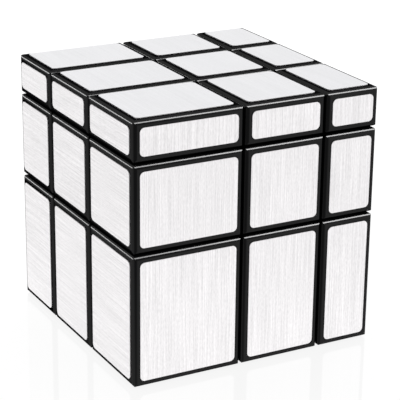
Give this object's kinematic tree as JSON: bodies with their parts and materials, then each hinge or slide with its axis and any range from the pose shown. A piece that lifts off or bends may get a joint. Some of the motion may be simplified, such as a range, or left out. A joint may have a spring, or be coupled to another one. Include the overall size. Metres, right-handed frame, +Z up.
{
  "type": "twisty puzzle cube",
  "caption": "Twisty puzzle cube whose layers differ in thickness along each axis, in black plastic with brushed silver foil panels; every face layer turns around a spring-loaded core.",
  "frame": {"origin": "centre of the bottom face, on the resting plane", "axes": "+X to the right, +Y to the back, +Z up; the front and left faces are the ones seen with the thin top layer up"},
  "size_m": [0.057, 0.057, 0.057],
  "materials": {
    "black_plastic": "semi-gloss moulded black plastic",
    "silver_foil": "brushed silver foil, fine straight grain",
    "core_plastic": "moulded, satin",
    "screw_steel": "zinc plated",
    "spring_steel": "drawn spring wire"
  },
  "bodies": {
    "core": {"core": "core_plastic", "centre_screws": "screw_steel", "centre_springs": "spring_steel", "spring_washers": "screw_steel"},
    "centre_left": {"centre_left": "black_plastic", "foil_centre_left": "silver_foil"},
    "centre_right": {"centre_right": "black_plastic", "foil_centre_right": "silver_foil"},
    "centre_front": {"centre_front": "black_plastic", "foil_centre_front": "silver_foil"},
    "centre_back": {"centre_back": "black_plastic", "foil_centre_back": "silver_foil"},
    "centre_bottom": {"centre_bottom": "black_plastic", "foil_centre_bottom": "silver_foil"},
    "centre_top": {"centre_top": "black_plastic", "foil_centre_top": "silver_foil"},
    "edge_front_left": {"edge_front_left": "black_plastic", "foils_edge_front_left": "silver_foil"},
    "edge_front_right": {"edge_front_right": "black_plastic", "foils_edge_front_right": "silver_foil"},
    "edge_back_left": {"edge_back_left": "black_plastic", "foils_edge_back_left": "silver_foil"},
    "edge_back_right": {"edge_back_right": "black_plastic", "foils_edge_back_right": "silver_foil"},
    "edge_bottom_left": {"edge_bottom_left": "black_plastic", "foils_edge_bottom_left": "silver_foil"},
    "edge_bottom_right": {"edge_bottom_right": "black_plastic", "foils_edge_bottom_right": "silver_foil"},
    "edge_top_left": {"edge_top_left": "black_plastic", "foils_edge_top_left": "silver_foil"},
    "edge_top_right": {"edge_top_right": "black_plastic", "foils_edge_top_right": "silver_foil"},
    "edge_bottom_front": {"edge_bottom_front": "black_plastic", "foils_edge_bottom_front": "silver_foil"},
    "edge_bottom_back": {"edge_bottom_back": "black_plastic", "foils_edge_bottom_back": "silver_foil"},
    "edge_top_front": {"edge_top_front": "black_plastic", "foils_edge_top_front": "silver_foil"},
    "edge_top_back": {"edge_top_back": "black_plastic", "foils_edge_top_back": "silver_foil"},
    "corner_bottom_front_left": {"corner_bottom_front_left": "black_plastic", "foils_corner_bottom_front_left": "silver_foil"},
    "corner_bottom_front_right": {"corner_bottom_front_right": "black_plastic", "foils_corner_bottom_front_right": "silver_foil"},
    "corner_bottom_back_left": {"corner_bottom_back_left": "black_plastic", "foils_corner_bottom_back_left": "silver_foil"},
    "corner_bottom_back_right": {"corner_bottom_back_right": "black_plastic", "foils_corner_bottom_back_right": "silver_foil"},
    "corner_top_front_left": {"corner_top_front_left": "black_plastic", "foils_corner_top_front_left": "silver_foil"},
    "corner_top_front_right": {"corner_top_front_right": "black_plastic", "foils_corner_top_front_right": "silver_foil"},
    "corner_top_back_left": {"corner_top_back_left": "black_plastic", "foils_corner_top_back_left": "silver_foil"},
    "corner_top_back_right": {"corner_top_back_right": "black_plastic", "foils_corner_top_back_right": "silver_foil"}
  },
  "joints": [
    {"name": "left_turn", "type": "hinge", "parent": "core", "child": "centre_left", "pos_m": [0.006, 0.002, 0.0385], "axis": [-1, 0, 0], "continuous": true},
    {"name": "right_turn", "type": "hinge", "parent": "core", "child": "centre_right", "pos_m": [0.006, 0.002, 0.0385], "axis": [1, 0, 0], "continuous": true},
    {"name": "front_turn", "type": "hinge", "parent": "core", "child": "centre_front", "pos_m": [0.006, 0.002, 0.0385], "axis": [0, -1, 0], "continuous": true},
    {"name": "back_turn", "type": "hinge", "parent": "core", "child": "centre_back", "pos_m": [0.006, 0.002, 0.0385], "axis": [0, 1, 0], "continuous": true},
    {"name": "bottom_turn", "type": "hinge", "parent": "core", "child": "centre_bottom", "pos_m": [0.006, 0.002, 0.0385], "axis": [0, 0, -1], "continuous": true},
    {"name": "top_turn", "type": "hinge", "parent": "core", "child": "centre_top", "pos_m": [0.006, 0.002, 0.0385], "axis": [0, 0, 1], "continuous": true},
    {"name": "edge_front_left_with_front", "type": "hinge", "parent": "centre_left", "child": "edge_front_left", "pos_m": [0.006, 0.002, 0.0385], "axis": [0, -1, 0], "continuous": true},
    {"name": "edge_front_right_with_front", "type": "hinge", "parent": "centre_right", "child": "edge_front_right", "pos_m": [0.006, 0.002, 0.0385], "axis": [0, -1, 0], "continuous": true},
    {"name": "edge_back_left_with_back", "type": "hinge", "parent": "centre_left", "child": "edge_back_left", "pos_m": [0.006, 0.002, 0.0385], "axis": [0, 1, 0], "continuous": true},
    {"name": "edge_back_right_with_back", "type": "hinge", "parent": "centre_right", "child": "edge_back_right", "pos_m": [0.006, 0.002, 0.0385], "axis": [0, 1, 0], "continuous": true},
    {"name": "edge_bottom_left_with_left", "type": "hinge", "parent": "centre_bottom", "child": "edge_bottom_left", "pos_m": [0.006, 0.002, 0.0385], "axis": [-1, 0, 0], "continuous": true},
    {"name": "edge_bottom_right_with_right", "type": "hinge", "parent": "centre_bottom", "child": "edge_bottom_right", "pos_m": [0.006, 0.002, 0.0385], "axis": [1, 0, 0], "continuous": true},
    {"name": "edge_top_left_with_left", "type": "hinge", "parent": "centre_top", "child": "edge_top_left", "pos_m": [0.006, 0.002, 0.0385], "axis": [-1, 0, 0], "continuous": true},
    {"name": "edge_top_right_with_right", "type": "hinge", "parent": "centre_top", "child": "edge_top_right", "pos_m": [0.006, 0.002, 0.0385], "axis": [1, 0, 0], "continuous": true},
    {"name": "edge_bottom_front_with_bottom", "type": "hinge", "parent": "centre_front", "child": "edge_bottom_front", "pos_m": [0.006, 0.002, 0.0385], "axis": [0, 0, -1], "continuous": true},
    {"name": "edge_bottom_back_with_bottom", "type": "hinge", "parent": "centre_back", "child": "edge_bottom_back", "pos_m": [0.006, 0.002, 0.0385], "axis": [0, 0, -1], "continuous": true},
    {"name": "edge_top_front_with_top", "type": "hinge", "parent": "centre_front", "child": "edge_top_front", "pos_m": [0.006, 0.002, 0.0385], "axis": [0, 0, 1], "continuous": true},
    {"name": "edge_top_back_with_top", "type": "hinge", "parent": "centre_back", "child": "edge_top_back", "pos_m": [0.006, 0.002, 0.0385], "axis": [0, 0, 1], "continuous": true},
    {"name": "corner_bottom_front_left_with_bottom", "type": "hinge", "parent": "edge_front_left", "child": "corner_bottom_front_left", "pos_m": [0.006, 0.002, 0.0385], "axis": [0, 0, -1], "continuous": true},
    {"name": "corner_bottom_front_right_with_bottom", "type": "hinge", "parent": "edge_front_right", "child": "corner_bottom_front_right", "pos_m": [0.006, 0.002, 0.0385], "axis": [0, 0, -1], "continuous": true},
    {"name": "corner_bottom_back_left_with_bottom", "type": "hinge", "parent": "edge_back_left", "child": "corner_bottom_back_left", "pos_m": [0.006, 0.002, 0.0385], "axis": [0, 0, -1], "continuous": true},
    {"name": "corner_bottom_back_right_with_bottom", "type": "hinge", "parent": "edge_back_right", "child": "corner_bottom_back_right", "pos_m": [0.006, 0.002, 0.0385], "axis": [0, 0, -1], "continuous": true},
    {"name": "corner_top_front_left_with_top", "type": "hinge", "parent": "edge_front_left", "child": "corner_top_front_left", "pos_m": [0.006, 0.002, 0.0385], "axis": [0, 0, 1], "continuous": true},
    {"name": "corner_top_front_right_with_top", "type": "hinge", "parent": "edge_front_right", "child": "corner_top_front_right", "pos_m": [0.006, 0.002, 0.0385], "axis": [0, 0, 1], "continuous": true},
    {"name": "corner_top_back_left_with_top", "type": "hinge", "parent": "edge_back_left", "child": "corner_top_back_left", "pos_m": [0.006, 0.002, 0.0385], "axis": [0, 0, 1], "continuous": true},
    {"name": "corner_top_back_right_with_top", "type": "hinge", "parent": "edge_back_right", "child": "corner_top_back_right", "pos_m": [0.006, 0.002, 0.0385], "axis": [0, 0, 1], "continuous": true}
  ],
  "couplings": [
    {"joint": "edge_front_left_with_front", "follows": "front_turn", "ratio": 1},
    {"joint": "edge_front_right_with_front", "follows": "front_turn", "ratio": 1},
    {"joint": "edge_back_left_with_back", "follows": "back_turn", "ratio": 1},
    {"joint": "edge_back_right_with_back", "follows": "back_turn", "ratio": 1},
    {"joint": "edge_bottom_left_with_left", "follows": "left_turn", "ratio": 1},
    {"joint": "edge_bottom_right_with_right", "follows": "right_turn", "ratio": 1},
    {"joint": "edge_top_left_with_left", "follows": "left_turn", "ratio": 1},
    {"joint": "edge_top_right_with_right", "follows": "right_turn", "ratio": 1},
    {"joint": "edge_bottom_front_with_bottom", "follows": "bottom_turn", "ratio": 1},
    {"joint": "edge_bottom_back_with_bottom", "follows": "bottom_turn", "ratio": 1},
    {"joint": "edge_top_front_with_top", "follows": "top_turn", "ratio": 1},
    {"joint": "edge_top_back_with_top", "follows": "top_turn", "ratio": 1},
    {"joint": "corner_bottom_front_left_with_bottom", "follows": "bottom_turn", "ratio": 1},
    {"joint": "corner_bottom_front_right_with_bottom", "follows": "bottom_turn", "ratio": 1},
    {"joint": "corner_bottom_back_left_with_bottom", "follows": "bottom_turn", "ratio": 1},
    {"joint": "corner_bottom_back_right_with_bottom", "follows": "bottom_turn", "ratio": 1},
    {"joint": "corner_top_front_left_with_top", "follows": "top_turn", "ratio": 1},
    {"joint": "corner_top_front_right_with_top", "follows": "top_turn", "ratio": 1},
    {"joint": "corner_top_back_left_with_top", "follows": "top_turn", "ratio": 1},
    {"joint": "corner_top_back_right_with_top", "follows": "top_turn", "ratio": 1}
  ]
}
